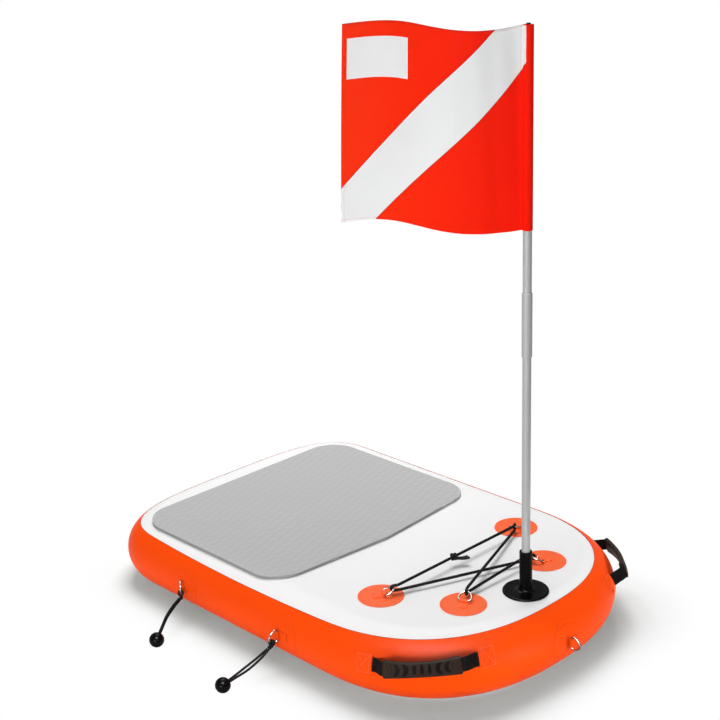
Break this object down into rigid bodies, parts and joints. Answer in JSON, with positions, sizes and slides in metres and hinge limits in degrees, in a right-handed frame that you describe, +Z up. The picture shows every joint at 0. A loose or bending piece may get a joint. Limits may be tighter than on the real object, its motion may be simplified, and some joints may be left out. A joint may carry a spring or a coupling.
{
  "type": "dive flag float",
  "caption": "Inflatable drop-stitch float board with a grooved deck pad, laced deck rings, carry handles, rail rings with ball ties, and a jointed mast flying a divers' flag.",
  "frame": {"origin": "on the floor under the board, midway between the bow ring and the valve cap, on the board's centre line", "axes": "+Z up along the mast, -Y towards the bow and the mast, +X to port"},
  "size_m": [0.7558, 0.9222, 1.0379],
  "materials": {
    "white_pvc": "satin coated fabric",
    "orange_pvc": "satin coated fabric",
    "patch_pvc": "satin coated fabric",
    "yarn_core": "matt",
    "grey_foam": "matt grooved foam",
    "stainless_wire": "polished",
    "black_rubber": "gloss",
    "black_cord": "braided",
    "black_webbing": "woven",
    "grip_rubber": "satin",
    "glass_fibre_tube": "satin",
    "flag_cloth": "matt",
    "valve_plastic": "satin"
  },
  "bodies": {
    "board": {"deck_skin": "white_pvc", "bottom_skin": "white_pvc", "rail_band": "orange_pvc", "drop_stitch_core": "yarn_core", "traction_pad": "grey_foam", "deck_bungee": "black_cord", "bungee_knot": "black_cord", "mast_socket": "black_rubber", "valve_body": "valve_plastic", "deck_patch_starboard_aft": "patch_pvc", "deck_ring_starboard_aft": "stainless_wire", "deck_patch_starboard_fore": "patch_pvc", "deck_ring_starboard_fore": "stainless_wire", "deck_patch_port_aft": "patch_pvc", "deck_ring_port_aft": "stainless_wire", "deck_patch_port_fore": "patch_pvc", "deck_ring_port_fore": "stainless_wire", "rail_patch_starboard_aft": "patch_pvc", "rail_patch_starboard_fore": "patch_pvc", "rail_patch_port_aft": "patch_pvc", "rail_patch_port_fore": "patch_pvc", "rail_patch_bow": "patch_pvc", "handle_strap_starboard": "black_webbing", "handle_grip_starboard": "grip_rubber", "handle_anchor_fore_starboard": "patch_pvc", "handle_anchor_aft_starboard": "patch_pvc", "handle_strap_port": "black_webbing", "handle_grip_port": "grip_rubber", "handle_anchor_fore_port": "patch_pvc", "handle_anchor_aft_port": "patch_pvc"},
    "lower_mast": {"lower_pole": "glass_fibre_tube"},
    "mast_coupling": {"coupling_sleeve": "glass_fibre_tube"},
    "upper_mast": {"upper_pole": "glass_fibre_tube", "mast_cap": "black_rubber"},
    "flag": {"flag": "flag_cloth"},
    "valve_cap": {"valve_cap": "valve_plastic"},
    "valve_stem": {"valve_stem": "valve_plastic"},
    "ring_starboard_aft": {"rail_ring_starboard_aft": "stainless_wire", "tie_knot_starboard_aft": "black_cord", "tie_strand_a_starboard_aft": "black_cord", "tie_strand_b_starboard_aft": "black_cord", "tie_ball_starboard_aft": "black_rubber"},
    "ring_starboard_fore": {"rail_ring_starboard_fore": "stainless_wire", "tie_knot_starboard_fore": "black_cord", "tie_strand_a_starboard_fore": "black_cord", "tie_strand_b_starboard_fore": "black_cord", "tie_ball_starboard_fore": "black_rubber"},
    "ring_port_aft": {"rail_ring_port_aft": "stainless_wire"},
    "ring_port_fore": {"rail_ring_port_fore": "stainless_wire"},
    "ring_bow": {"rail_ring_bow": "stainless_wire"}
  },
  "joints": [
    {"name": "lower_mast_pull", "type": "slide", "parent": "board", "child": "lower_mast", "axis": [0, 0, 1], "range_m": [0, 0.069]},
    {"name": "coupling_pull", "type": "slide", "parent": "lower_mast", "child": "mast_coupling", "axis": [0, 0, 1], "range_m": [0, 0.051]},
    {"name": "upper_mast_turn", "type": "hinge", "parent": "mast_coupling", "child": "upper_mast", "pos_m": [0, -0.3462, 0.58], "axis": [0, 0, 1], "continuous": true},
    {"name": "flag_swing", "type": "hinge", "parent": "upper_mast", "child": "flag", "pos_m": [0, -0.3462, 0.88], "axis": [0, 0, 1], "continuous": true},
    {"name": "ring_swing_starboard_aft", "type": "hinge", "parent": "board", "child": "ring_starboard_aft", "pos_m": [-0.3048, 0.19008, 0.06], "axis": [0, 0, 1], "range_deg": [-90, 10]},
    {"name": "ring_swing_starboard_fore", "type": "hinge", "parent": "board", "child": "ring_starboard_fore", "pos_m": [-0.3048, -0.06982, 0.06], "axis": [0, 0, 1], "range_deg": [-62, 62]},
    {"name": "ring_swing_port_aft", "type": "hinge", "parent": "board", "child": "ring_port_aft", "pos_m": [0.3048, 0.19008, 0.06], "axis": [0, 0, 1], "range_deg": [-72, 72]},
    {"name": "ring_swing_port_fore", "type": "hinge", "parent": "board", "child": "ring_port_fore", "pos_m": [0.3048, -0.06982, 0.06], "axis": [0, 0, 1], "range_deg": [-72, 72]},
    {"name": "ring_swing_bow", "type": "hinge", "parent": "board", "child": "ring_bow", "pos_m": [0, -0.441, 0.06], "axis": [0, 0, 1], "range_deg": [-72, 72]},
    {"name": "valve_cap_turn", "type": "hinge", "parent": "board", "child": "valve_cap", "pos_m": [0, 0.4558, 0.06], "axis": [0, 1, 0], "range_deg": [0, 90]},
    {"name": "valve_stem_push", "type": "slide", "parent": "board", "child": "valve_stem", "axis": [0, -1, 0], "range_m": [0, 0.005], "stiffness_N_per_m": 400, "springref_m": -0.004}
  ]
}
